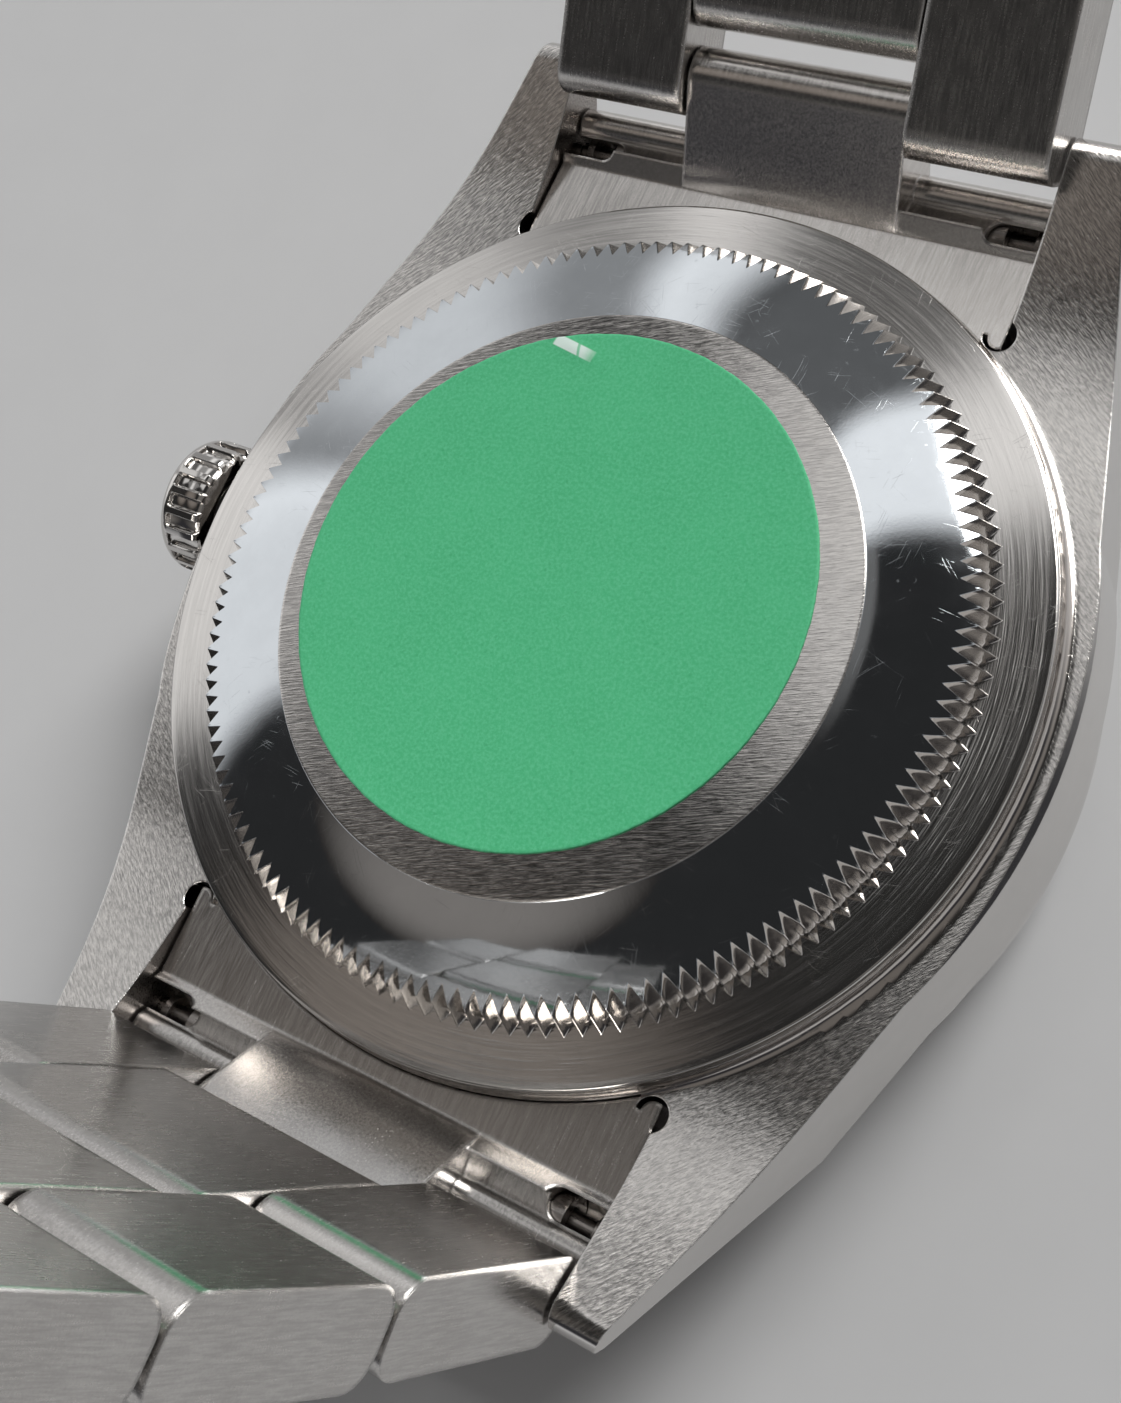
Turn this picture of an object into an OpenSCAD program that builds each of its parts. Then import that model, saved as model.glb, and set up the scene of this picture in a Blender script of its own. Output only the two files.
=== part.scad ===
// Screw-down watch case back, fitted in its steel case with lugs, crown, end links and first bracelet links.
// Millimetres. The origin is the centre of the crystal's flat face. +Z goes out of the back towards the
// wrist, +Y goes to twelve o'clock, and the crown is at -X.

/* [Case back] */
// Width of the brushed ring outside the flutes
ring_w = 1.76; // [1.6:0.02:1.9]
// Thickness of the flange at its rim
flange_t = 0.57; // [0.4:0.01:0.8]
// Height of the flange's outer face above the crystal's face
flange_z = 9.25; // [8.8:0.05:10]
// Number of flutes that the case key grips
flute_count = 144; // [120:2:160]
// Height of the fluted edge
flute_h = 1.15; // [0.8:0.05:1.3]
// How far the fluted edge leans in over its height
flute_lean = 0.5; // [0.2:0.05:0.7]
// Depth of a flute
flute_depth = 0.5; // [0.3:0.05:0.6]
// Width of the dome between the flutes and the centre disc
dome_w = 4.02; // [3.4:0.02:4.6]
// Height of the centre disc above the flange
disc_h = 2.06; // [1.8:0.02:2.4]
// Step at the rim of the centre disc
disc_step = 0.05; // [0.02:0.01:0.1]
// Crown of the dome between its ends
dome_rise = 0.12; // [0.05:0.01:0.25]
// Wall of the dome
dome_wall = 0.75; // [0.5:0.05:0.9]
// Width of the seat between the threaded skirt and the flange's rim
seat_w = 1.4; // [1.3:0.05:1.5]
// Depth of the threaded skirt under the flange
skirt_h = 1.4; // [1.2:0.05:1.5]
// Wall of the threaded skirt
skirt_wall = 0.85; // [0.7:0.05:1]

/* [Protective sticker] */
// Margin between the sticker and the edge of the centre disc
sticker_margin = 1.17; // [0.8:0.01:2]
// Thickness of the sticker
sticker_t = 0.08; // [0.05:0.01:0.15]
// Offset of the sticker from the middle, across
sticker_x = -0.5; // [-0.6:0.1:0.6]
// Offset of the sticker from the middle, along
sticker_y = 0.26; // [-0.5:0.02:0.5]

/* [Middle case] */
// Width of the case across its flanks, without the crown
case_w = 35; // [34.8:0.1:35.6]
// Distance between the inner faces of a pair of lugs
lug_gap = 20; // [19.5:0.1:20.2]
// Width of the shoulder between the back and the flank
shoulder_w = 0.95; // [0.9:0.01:1.1]
// How far the lugs reach beyond half the width of the case
lug_reach = 4.15; // [3.9:0.05:4.4]
// Angle between the lugs' outer faces and the line through six and twelve
lug_angle = 17; // [16:0.5:18]
// Radius of the flank between the lugs
flank_r = 20.4; // [20:0.05:21.5]
// Angle at which the flank's arc runs into the lugs' outer faces
blend_angle = 23.5; // [20:0.5:26]
// Width of the polished bevel along the flank's back edge
bevel_w = 0.2; // [0.1:0.02:0.3]
// Depth of the lugs' back surface under the flange face
shoulder_drop = 1.06; // [0.9:0.02:1.3]
// Angle at which the lugs' backs rise to their tips
ramp_angle = 19.5; // [17:0.5:21]
// Distance from the lug tips at which the straight ramp would start
ramp_l = 6.41; // [6.1:0.01:6.7]
// Radius that blends the shoulder into the ramp
ramp_blend = 20; // [12:1:22]
// Radius of the curve under the lugs
lug_front_r = 12.7; // [12.2:0.1:13]
// Distance from the lug tips to that curve's centre
lug_front_l = 11.3; // [11.1:0.05:11.5]
// Height of that curve's centre
lug_front_z = 15.5; // [15.3:0.05:15.6]
// Radius at the end of a lug
tip_r = 0.8; // [0.4:0.1:1]
// Height of the case's front face, where the bezel sits
front_z = 3.85; // [3.7:0.05:4]
// Bevel along the flank's front edge
front_bevel = 0.5; // [0.2:0.05:0.7]
// Distance from the lug tips at which the lugs' front bevels start
lug_bevel_l = 7.6; // [7.2:0.05:7.8]
// Rise of the lugs' front bevels towards their tips
lug_bevel_angle = 33; // [28:1:36]
// Radius of the cove between the shoulder and the back
cove_r = 0.49; // [0.3:0.01:0.55]
// Radius of the notch at the root of a lug
notch_r = 0.6; // [0.5:0.05:0.7]
// Distance of a notch's centre from the inner face of its lug
notch_in = 0.27; // [0.2:0.01:0.4]
// Distance of a notch's centre from the round wall
notch_out = 0.71; // [0.66:0.01:0.8]
// Step from the thread in to the movement's seat
seat_step = 0.8; // [0.75:0.05:1]
// Height of the ledge under the movement
seat_z = 4.6; // [4.4:0.1:4.8]
// Width of the ledge under the movement
ledge_w = 0.95; // [0.8:0.05:1.1]

/* [Bezel and crystal] */
// How far the bezel stands inside the flank
bezel_in = 0.25; // [0.2:0.05:0.5]
// Width of the bezel with the crystal's gasket
bezel_w = 2.95; // [2.8:0.05:3.1]
// Height of the bezel's front edge above the crystal's face
bezel_z = 0.85; // [0.6:0.05:1]
// Thickness of the crystal
crystal_t = 2.25; // [2:0.05:2.5]
// Bevel at the edge of the crystal
crystal_bevel = 0.25; // [0.1:0.05:0.4]
// Wall of the crystal gasket
crystal_gasket_t = 0.6; // [0.5:0.05:0.7]

/* [Crown] */
// Diameter of the crown
crown_d = 5.5; // [5:0.1:5.8]
// Length of the crown
crown_l = 2; // [1.9:0.1:2.4]
// Number of flutes on the crown
crown_flutes = 20; // [18:1:24]
// Depth of a flute on the crown
crown_flute_depth = 0.24; // [0.16:0.02:0.3]
// Width of a flute on the crown
crown_flute_w = 0.46; // [0.3:0.02:0.5]
// Height of the crown's axis above the crystal's face
crown_z = 6.4; // [6.2:0.05:6.45]
// Gap between the crown and the flank
crown_gap = 0.15; // [0.1:0.05:0.4]
// How far the crown pulls out
crown_pull = 0.8; // [0.4:0.1:0.9]
// Outer radius of the crown tube
tube_r = 1.15; // [1:0.05:1.3]
// Radius of the winding stem
stem_r = 0.45; // [0.35:0.05:0.5]
// How far the stem reaches in past the movement's seat
stem_reach = 2; // [1.5:0.1:3]

/* [End links and spring bars] */
// Distance from the lug tips to the spring bars
bar_in = 3; // [2.9:0.05:3.15]
// Depth of the spring bars under the flange face
bar_drop = 2.35; // [2.3:0.05:2.5]
// Radius of a spring bar's tube
bar_r = 0.9; // [0.8:0.05:0.95]
// Wall of a spring bar's tube
bar_wall = 0.24; // [0.2:0.01:0.26]
// Radius of a spring bar's pivot
pivot_r = 0.38; // [0.3:0.02:0.4]
// Travel of a spring bar's tip
tip_travel = 0.95; // [0.8:0.05:1]
// Width of an access slot
slot_w = 1.1; // [0.9:0.05:1.2]
// Length of an access slot
slot_l = 2.3; // [2:0.1:2.5]
// Distance from the round wall at which the tongue starts to rise
fold_out = 0.7; // [0.6:0.05:0.9]
// Distance of the outer bar's roundness from the spring bar's axis, outwards and upwards
lip_out = 0.8; // [0.75:0.05:0.9]
// Half width of the centre tongue
tongue_x = 4.45; // [4:0.05:4.8]
// Radius at the end of the tongue
tongue_r = 1.05; // [1:0.05:1.15]
// Distance from the lug tips in to the first bracelet hinge
hinge_in = 0.75; // [0.55:0.05:0.85]
// Height of the first bracelet hinge above the flange face
hinge_rise = 1.15; // [1.1:0.05:1.3]

/* [Bracelet links] */
// Thickness of a link
link_t = 3; // [2.8:0.1:3.1]
// Radius at the ends of a link
link_end_r = 1.1; // [0.8:0.1:1.3]
// Distance between the hinges of a first link
first_pitch = 11.2; // [10.5:0.1:11.5]
// Distance from its hinge at which the facet of a first link ends
facet_l = 3.2; // [2.8:0.1:3.6]
// Distance between the hinges of the next links
link_pitch = 10.4; // [9.8:0.1:11]
// Radius of a hinge pin
pin_r = 0.55; // [0.45:0.05:0.6]
// Lean of the first link at twelve
angle_12 = 36; // [30:1:45]
// Lean of the first link at six
angle_6a = 81.5; // [78:0.5:84]
// Lean of the second link at six
angle_6b = 85; // [84:0.5:87]
// Lean of the third link at six
angle_6c = 88; // [87:0.5:90]

/* [Hidden] */
$fn = 96;

fit = 0.05;          // running clearance of a pin or thread in its bore
gap = 0.1;           // clearance between flat faces that pass each other
eps = 0.01;          // overlap that makes a cut run through
far = 60;            // longer than anything that it cuts

case_r = case_w / 2;
back_r = case_r - shoulder_w;
flute_r = back_r - ring_w;
disc_r = flute_r - dome_w;
sticker_r = disc_r - sticker_margin;
thread_r = back_r - seat_w;
seat_r = thread_r - seat_step;
dial_r = seat_r - ledge_w;
bezel_r = case_r - bezel_in;
crystal_r = bezel_r - bezel_w;
seat_top = flange_z - flange_t;
shoulder_z = flange_z - shoulder_drop;
crest_top_r = flute_r - flute_lean;
lean_angle = atan2(flute_lean, flute_h);
dome_run = crest_top_r - disc_r;
dome_fall = disc_h - disc_step - flute_h;
dome_chord = norm([dome_run, dome_fall]);
dome_curve = (dome_chord * dome_chord / 4 + dome_rise * dome_rise) / (2 * dome_rise);
skirt_r = thread_r - skirt_wall;
gasket_w = 0.55;
gasket_h = 0.46;
groove_w = 0.8;
groove_h = 0.5;
thread_z = seat_top - skirt_h - 0.15;
lug_hole_depth = 1.05;
pivot_reach = 0.85;
half_gap = lug_gap / 2;
tip_y = case_r + lug_reach;
ramp_y = tip_y - ramp_l;
lug_front_y = tip_y - lug_front_l;
lug_bevel_y = tip_y - lug_bevel_l;
link_wall_r = back_r + 0.15;
notch_x = half_gap - notch_in;
notch_l = 1.5;
notch_y = sqrt(pow(link_wall_r + notch_out, 2) - pow(notch_x, 2));
flank_c = case_r - flank_r;
arc_end = [flank_c + flank_r * cos(blend_angle), flank_r * sin(blend_angle)];
tip_x = arc_end[0] - (tip_y - arc_end[1]) * tan(lug_angle);
bevel_end = [flank_c + flank_r * cos(blend_angle - 3), flank_r * sin(blend_angle - 3)];
bevel_cut = 2;
bar_y = tip_y - bar_in;
bar_z = flange_z - bar_drop;
fold_y = link_wall_r + fold_out;
hinge_y = tip_y - hinge_in;
hinge_z = flange_z + hinge_rise;
link_side = half_gap - gap;
stem_hole_r = stem_r + gap;
crown_x = case_r + crown_gap;
crown_bore_r = tube_r + 0.4;
crown_wall = 0.6;
stem_grip = 0.3;
tube_in = thread_r + 0.35;
tube_out = crown_x + crown_pull + 0.45;
pin_hole_r = pin_r + fit;
near_over = link_t / 2;
far_over = link_t / 2 - gap;
end_gap = 0.3;
joint_in = 1.8;
bezel_round = 1.95;
bezel_round_z = bezel_z + 1.75;
pin_end = link_side - 1.4;

// A solid between two planes across the case, from an outline drawn in Y and Z
module across(x0, x1) {
    translate([x0, 0, 0]) rotate([90, 0, 90]) linear_extrude(x1 - x0) children();
}

// A round bar or bore along X
module along_x(x0, x1, r) {
    translate([x0, 0, 0]) rotate([0, 90, 0]) cylinder(h = x1 - x0, r = r);
}

// The twelve o'clock side, or its mirror image at six
module side(s) {
    mirror([0, s < 0 ? 1 : 0, 0]) children();
}

// The point of a line that leaves [y, z] at an angle and touches a circle on its upper left
function tangent_angle(from, centre, r) =
    let (d = centre - from) atan2(d[1], d[0]) + asin(r / norm(d));

function left_of(centre, r, a) = centre + r * [-sin(a), cos(a)];

// Outline of the case: barrel with round flanks, and lugs whose outer faces close in on the tips
module case_outline() {
    intersection() {
        translate([flank_c, 0]) circle(flank_r, $fn = 180);
        translate([-flank_c, 0]) circle(flank_r, $fn = 180);
        square([far, 2 * arc_end[1]], center = true);
    }
    polygon([for (s = [1, -1]) each [[s * arc_end[0], s * arc_end[1]], [s * tip_x, s * tip_y],
        [-s * tip_x, s * tip_y], [-s * arc_end[0], s * arc_end[1]]]]);
}

// Centre of an arc that narrows the barrel to half width w and meets the flank just before the lugs start
function bevel_c(w) = (w * w - bevel_end * bevel_end) / (2 * (w - bevel_end[0]));

// Cuts for the bevels along the back and front edges of one flank
module flank_bevels() {
    k = bevel_cut;
    back_w = case_r - bevel_w;
    front_w = case_r - front_bevel;
    intersection() {
        translate([0, -arc_end[1], 0]) cube([far, 2 * arc_end[1], far]);
        union() {
            translate([bevel_c(back_w), 0, shoulder_z]) rotate_extrude($fn = 180)
                translate([back_w - bevel_c(back_w), 0]) polygon([[-k / 4, k / 4], [k, k / 4], [k, -k]]);
            translate([bevel_c(front_w), 0, front_z]) rotate_extrude($fn = 180)
                translate([front_w - bevel_c(front_w), 0]) polygon([[-k / 4, -k / 4], [k, -k / 4], [k, k]]);
        }
    }
}

// Space between a pair of lugs, down to the round wall that the end link wraps
module lug_space() {
    for (s = [1, -1]) scale([1, s]) {
        difference() {
            translate([-half_gap, 0]) square([lug_gap, tip_y + 1]);
            circle(link_wall_r);
            for (t = [1, -1]) translate([t * notch_x - notch_r, notch_y - notch_l])
                square([2 * notch_r, notch_l]);
        }
        for (t = [1, -1]) translate([t * notch_x, notch_y]) circle(notch_r);
    }
}

// Cut that bevels the front outer edge of one lug
module lug_bevel() {
    line_x = arc_end[0] - (lug_bevel_y - arc_end[1]) * tan(lug_angle);
    translate([line_x, lug_bevel_y, front_z + 0.4]) rotate([0, 0, lug_angle]) rotate([lug_bevel_angle, 0, 0])
        rotate([0, -45, 0]) translate([-far / 2, -far / 2, -far]) cube(far);
}

// Side view of one half of the case: shoulder, rising lug, round tip and curved underside
module case_side() {
    ramp_end = tip_y - tip_r;
    tip_c = [ramp_end, shoulder_z + (ramp_end - ramp_y) * tan(ramp_angle) - tip_r / cos(ramp_angle)];
    tip_start = left_of(tip_c, tip_r, ramp_angle);
    blend_l = ramp_blend * tan(ramp_angle / 2);
    blend_end = [ramp_y + blend_l * cos(ramp_angle), shoulder_z + blend_l * sin(ramp_angle)];
    intersection() {
        union() {
            polygon([[0, front_z], [0, shoulder_z], [ramp_y, shoulder_z], tip_start, tip_c,
                     [tip_y, tip_c[1]], [tip_y, front_z]]);
            translate(tip_c) circle(tip_r);
            difference() {
                polygon([[ramp_y - blend_l, shoulder_z], [ramp_y, shoulder_z - eps], blend_end]);
                translate([ramp_y - blend_l, shoulder_z + ramp_blend]) circle(ramp_blend, $fn = 360);
            }
        }
        union() {
            square([lug_front_y, far]);
            translate([lug_front_y, lug_front_z]) circle(lug_front_r, $fn = 180);
        }
    }
}

module middle_case() color("silver") difference() {
    union() {
        difference() {
            intersection() {
                linear_extrude(far) case_outline();
                union() {
                    across(-far / 2, far / 2) case_side();
                    side(-1) across(-far / 2, far / 2) case_side();
                }
            }
            translate([0, 0, -eps]) linear_extrude(far) lug_space();
            translate([0, 0, shoulder_z]) cylinder(h = far, r = link_wall_r + gap);
            for (t = [0, 1]) mirror([t, 0, 0]) {
                flank_bevels();
                lug_bevel();
                side(-1) lug_bevel();
            }
        }
        difference() {
            rotate_extrude() difference() {
                translate([seat_r, shoulder_z - 1])
                    square([back_r + cove_r - seat_r, seat_top - shoulder_z + 1]);
                translate([back_r + cove_r, seat_top]) circle(cove_r);
            }
            linear_extrude(far) lug_space();
        }
        rotate_extrude() translate([dial_r - 1, crystal_t])
            square([crystal_r - dial_r + 1, seat_z - crystal_t]);
    }
    rotate_extrude()
        polygon([[0, seat_z], [seat_r, seat_z], [seat_r, thread_z], [thread_r + fit, thread_z],
                 [thread_r + fit, seat_top - groove_h], [thread_r + fit + groove_w, seat_top - groove_h],
                 [thread_r + fit + groove_w, far], [0, far]]);
    translate([0, 0, -1]) cylinder(h = far, r = dial_r);
    translate([0, 0, crown_z]) along_x(-far, -tube_in, tube_r);
    translate([0, 0, crown_z]) along_x(-far, 0, stem_hole_r);
    for (s = [1, -1])
        translate([0, s * bar_y, bar_z]) {
            along_x(half_gap - 1, half_gap + lug_hole_depth, pivot_r + fit);
            along_x(-half_gap - lug_hole_depth, 1 - half_gap, pivot_r + fit);
        }
}

module bezel() color("gainsboro") {
    inner_r = crystal_r + fit + crystal_gasket_t;
    rotate_extrude() intersection() {
        translate([inner_r, bezel_z]) square([bezel_r - inner_r, front_z - bezel_z]);
        union() {
            translate([bezel_r - bezel_round, bezel_round_z]) circle(bezel_round);
            translate([inner_r, bezel_round_z]) square(far);
            translate([inner_r, bezel_z]) square([bezel_r - bezel_round - inner_r + eps, 1]);
        }
    }
}

module crystal() color([0.85, 0.9, 0.92, 0.35]) rotate_extrude()
    polygon([[0, 0], [crystal_r - crystal_bevel, 0], [crystal_r, crystal_bevel], [crystal_r, crystal_t],
             [0, crystal_t]]);

module crystal_gasket() color("white") rotate_extrude()
    translate([crystal_r + fit, bezel_z + 0.1]) square([crystal_gasket_t - fit, front_z - bezel_z - 0.1]);

// Fluted edge that leans in, and a dome that swells between it and the centre disc
module dome_outline() {
    chord_angle = atan2(dome_fall, dome_run);
    disc_edge = [disc_r, flange_z + disc_h - disc_step];
    crest_top = [crest_top_r, flange_z + flute_h];
    middle = (disc_edge + crest_top) / 2;
    swell_c = middle + (dome_rise - dome_curve) * [sin(chord_angle), cos(chord_angle)];
    polygon([[0, flange_z], [flute_r, flange_z], crest_top, disc_edge, [0, disc_edge[1]]]);
    translate([0, flange_z]) square([disc_r, disc_h]);
    intersection() {
        translate(swell_c) circle(dome_curve, $fn = 360);
        translate(disc_edge) rotate(-chord_angle) translate([0, -eps]) square([dome_chord, 2 * dome_rise]);
    }
}

module flutes() {
    pitch = 2 * PI * flute_r / flute_count;
    land = 0.03;
    reach = 0.3;
    half_w = (pitch - land) / 2 * (flute_depth + reach) / flute_depth;
    for (i = [0 : flute_count - 1]) rotate([0, 0, (i + 0.5) * 360 / flute_count])
        translate([flute_r, 0, flange_z]) rotate([0, -lean_angle, 0]) translate([0, 0, -flute_depth])
            linear_extrude(2 * flute_h + flute_depth)
                polygon([[-flute_depth, 0], [reach, -half_w], [reach, half_w]]);
}

module case_back() color("silver") difference() {
    union() {
        difference() {
            rotate_extrude() dome_outline();
            flutes();
        }
        rotate_extrude() polygon([[0, flange_z], [back_r - 0.12, flange_z], [back_r, flange_z - 0.12],
            [back_r, seat_top], [thread_r, seat_top], [thread_r, seat_top - skirt_h + 0.2],
            [thread_r - 0.2, seat_top - skirt_h], [0, seat_top - skirt_h]]);
    }
    rotate_extrude() polygon([[0, 0], [skirt_r, 0], [skirt_r, seat_top], [skirt_r - 1.2, seat_top],
        [skirt_r - 1.2, flange_z + 0.35], [disc_r, flange_z + disc_h - dome_wall],
        [0, flange_z + disc_h - dome_wall]]);
}

module protective_sticker() color([0.29, 0.69, 0.49])
    translate([sticker_x, sticker_y, flange_z + disc_h]) cylinder(h = sticker_t, r = sticker_r);

module back_gasket() color("dimgray") rotate_extrude()
    translate([thread_r + gap, seat_top - gasket_h]) {
        translate([gasket_h / 2, gasket_h / 2]) circle(gasket_h / 2, $fn = 32);
        translate([gasket_w - gasket_h / 2, gasket_h / 2]) circle(gasket_h / 2, $fn = 32);
        translate([gasket_h / 2, 0]) square([gasket_w - gasket_h, gasket_h]);
    }

module crown_tube() color("lightgray") translate([0, 0, crown_z]) difference() {
    along_x(-tube_out, -tube_in, tube_r);
    along_x(-far, 0, stem_hole_r);
}

// Crown profile about its own axis, with the open end at height 0
module crown_outline() {
    r = crown_d / 2;
    chamfer = 0.15;
    round_r = 0.45;
    difference() {
        union() {
            polygon([[0, 0], [r - chamfer, 0], [r, chamfer], [r, crown_l - round_r],
                     [0, crown_l - round_r]]);
            square([r - round_r, crown_l]);
            translate([r - round_r, crown_l - round_r]) circle(round_r, $fn = 32);
        }
        translate([-1, -1]) square([crown_bore_r + 1, crown_l - crown_wall + 1]);
        square([stem_r + eps, crown_l - crown_wall + stem_grip]);
    }
}

module crown() color("silver") translate([-crown_x, 0, crown_z]) rotate([0, -90, 0]) difference() {
    rotate_extrude() crown_outline();
    for (i = [0 : crown_flutes - 1]) rotate([0, 0, i * 360 / crown_flutes])
        translate([crown_d / 2 - crown_flute_depth, -crown_flute_w / 2, -eps])
            cube([1, crown_flute_w, crown_l - 0.5]);
}

module crown_gasket() color("dimgray") translate([-crown_x - 0.3, 0, crown_z]) rotate([0, -90, 0])
    rotate_extrude() translate([tube_r + 0.19, 0]) circle(0.17, $fn = 32);

module winding_stem() color("silver") translate([0, 0, crown_z])
    along_x(-crown_x - crown_l + crown_wall - stem_grip, stem_reach - seat_r, stem_r);

// Side view of the wings of an end link: flush back, step, land and round outer bar
module wing_side() {
    lip = [bar_y + lip_out, bar_z + lip_out];
    lip_r = 0.65;
    step_y = fold_y + 0.65;
    step_z = shoulder_z + 0.55;
    polygon([[0, front_z + 0.7], [0, shoulder_z], [fold_y, shoulder_z], [step_y, step_z],
             [step_y, step_z - 0.6], [lip[0] - lip_r, lip[1] + 0.3], lip, [lip[0] + lip_r, lip[1]],
             [lip[0] + lip_r, bar_z - 0.3], [bar_y + 0.2, bar_z - bar_r - 0.75],
             [fold_y - 0.4, front_z + 0.7]]);
    translate(lip) circle(lip_r, $fn = 48);
}

// Side view of the tongue that the first link hinges on
module tongue_side() {
    hinge = [hinge_y, hinge_z];
    fold = [fold_y, shoulder_z];
    a = tangent_angle(fold, hinge, tongue_r);
    under = [hinge_y - 0.8, bar_z + 0.35];
    b = atan2(hinge[1] - under[1], hinge[0] - under[0]) - asin(tongue_r / norm(hinge - under));
    polygon([[fold_y - 0.5, shoulder_z - 1], [fold_y - 0.5, shoulder_z], fold,
             left_of(hinge, tongue_r, a), hinge, hinge - tongue_r * [-sin(b), cos(b)], under]);
    translate(hinge) circle(tongue_r, $fn = 64);
}

module end_link() difference() {
    union() {
        intersection() {
            across(-link_side, link_side) wing_side();
            linear_extrude(far) difference() {
                union() {
                    translate([-link_side, 0]) square([2 * link_side, tip_y]);
                    for (t = [1, -1]) translate([t * notch_x, notch_y]) circle(notch_r - 0.15);
                }
                circle(link_wall_r + fit);
                for (t = [1, -1]) difference() {
                    translate([t * notch_x - notch_r, notch_y - notch_l]) square([2 * notch_r, notch_l]);
                    translate([t * notch_x, notch_y]) circle(notch_r - 0.15);
                }
            }
        }
        across(-tongue_x, tongue_x) tongue_side();
    }
    translate([0, bar_y, bar_z]) along_x(-far / 2, far / 2, bar_r + fit);
    translate([0, hinge_y, hinge_z]) along_x(-far / 2, far / 2, pin_hole_r);
    for (t = [1, -1]) translate([t * (link_side - slot_l + slot_w / 2), bar_y - 0.4, bar_z]) {
        cylinder(h = far, d = slot_w);
        translate([t > 0 ? 0 : -far, -slot_w / 2, 0]) cube([far, slot_w, far]);
    }
}

module end_link_12() color("silver") end_link();
module end_link_6() color("silver") side(-1) end_link();

tube_end = link_side - slot_l + 0.6;
crimp = 0.3;
neck_r = pivot_r + 0.02;
collar_x = tube_end + tip_travel + gap;
piston_x = tube_end - crimp - 0.1;
piston_l = 1.4;

module spring_bar() translate([0, bar_y, bar_z]) difference() {
    along_x(-tube_end, tube_end, bar_r);
    along_x(crimp - tube_end, tube_end - crimp, bar_r - bar_wall);
    along_x(-far, far, neck_r + fit);
}

module spring_bar_12() color("lightgray") spring_bar();
module spring_bar_6() color("lightgray") side(-1) spring_bar();

// Sprung tip: piston in the tube, neck, collar that a tool pushes, and pivot in the lug's hole
module bar_tip() translate([0, bar_y, bar_z]) {
    along_x(piston_x - piston_l, piston_x, bar_r - bar_wall - fit);
    along_x(piston_x - eps, collar_x + eps, neck_r);
    along_x(collar_x, collar_x + 0.3, bar_r - 0.2);
    along_x(collar_x + 0.3 - eps, half_gap + pivot_reach, pivot_r);
}

module bar_tip_12_right() color("lightgray") bar_tip();
module bar_tip_12_left() color("lightgray") mirror([1, 0, 0]) bar_tip();
module bar_tip_6_right() color("lightgray") side(-1) bar_tip();
module bar_tip_6_left() color("lightgray") side(-1) mirror([1, 0, 0]) bar_tip();

// Coil spring between the two pistons, as one tube swept along a helix
module bar_spring() {
    wire = 0.1;
    coil_r = bar_r - bar_wall - fit - wire - 0.05;
    turns = 14;
    rings_per_turn = 8;
    sides = 6;
    rings = turns * rings_per_turn;
    x_end = piston_x - piston_l - wire - 0.05;
    pitch = 2 * x_end / turns;
    climb = atan2(pitch, 2 * PI * coil_r);
    points = [for (i = [0 : rings], j = [0 : sides - 1])
        let (a = i * 360 / rings_per_turn, b = j * 360 / sides,
             out = [0, cos(a), sin(a)],
             up = [cos(climb), sin(climb) * sin(a), -sin(climb) * cos(a)])
        [2 * x_end * i / rings - x_end, 0, 0] + (coil_r + wire * cos(b)) * out + wire * sin(b) * up];
    faces = [for (i = [0 : rings - 1], j = [0 : sides - 1])
        let (k = (j + 1) % sides, p = i * sides + j, q = i * sides + k)
        each [[p, q, p + sides], [q, q + sides, p + sides]]];
    caps = [for (j = [1 : sides - 2]) each [[0, j + 1, j],
        [rings * sides, rings * sides + j, rings * sides + j + 1]]];
    translate([0, bar_y, bar_z]) polyhedron(points, concat(faces, caps));
}

module bar_spring_12() color("dimgray") bar_spring();
module bar_spring_6() color("dimgray") side(-1) bar_spring();

// Long section of a link: a bar with rounded corners from s0 to s1 along the bracelet
module link_side_view(s0, s1) {
    h = link_t / 2;
    r = link_end_r;
    translate([s0, r - h]) square([s1 - s0, link_t - 2 * r]);
    translate([s0 + r, -h]) square([s1 - s0 - 2 * r, link_t]);
    for (s = [s0 + r, s1 - r], n = [r - h, h - r]) translate([s, n]) circle(r, $fn = 48);
}

function outer_end(pitch) = pitch - near_over - end_gap;
function centre_start() = far_over + end_gap;
function joints_at(pitch) = [centre_start() + joint_in, outer_end(pitch) - joint_in];

// Outer piece on the +X side, with a clearance facet beside the lug on a first link
module outer_link(pitch, first) difference() {
    across(tongue_x + gap, link_side) link_side_view(-near_over, outer_end(pitch));
    along_x(0, pin_end, pin_r + 0.01);
    for (s = joints_at(pitch)) translate([0, s, 0]) along_x(0, pin_end, pin_r + 0.01);
    if (first) translate([link_side, facet_l, -far / 2]) rotate([0, 0, 12])
        translate([0, -far / 2, 0]) cube([far, far / 2, far]);
}

module centre_link(pitch) difference() {
    across(-tongue_x, tongue_x) link_side_view(centre_start(), pitch + far_over);
    translate([0, pitch, 0]) along_x(-far, far, pin_hole_r);
    for (s = joints_at(pitch)) translate([0, s, 0]) along_x(-far, far, pin_r + 0.01);
}

module hinge_pin() along_x(-pin_end, pin_end, pin_r);
module joining_pins(pitch) for (s = joints_at(pitch)) translate([0, s, 0]) along_x(-pin_end, pin_end, pin_r);

// Place of a link: on the first hinge, or on the end of the link before it
module on_12a() translate([0, hinge_y, hinge_z]) rotate([angle_12, 0, 0]) children();
module on_6a() side(-1) translate([0, hinge_y, hinge_z]) rotate([angle_6a, 0, 0]) children();

second_hinge = [hinge_y, hinge_z] + first_pitch * [cos(angle_6a), sin(angle_6a)];
third_hinge = second_hinge + link_pitch * [cos(angle_6b), sin(angle_6b)];

module on_6b() side(-1) translate([0, second_hinge[0], second_hinge[1]]) rotate([angle_6b, 0, 0]) children();
module on_6c() side(-1) translate([0, third_hinge[0], third_hinge[1]]) rotate([angle_6c, 0, 0]) children();

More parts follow.
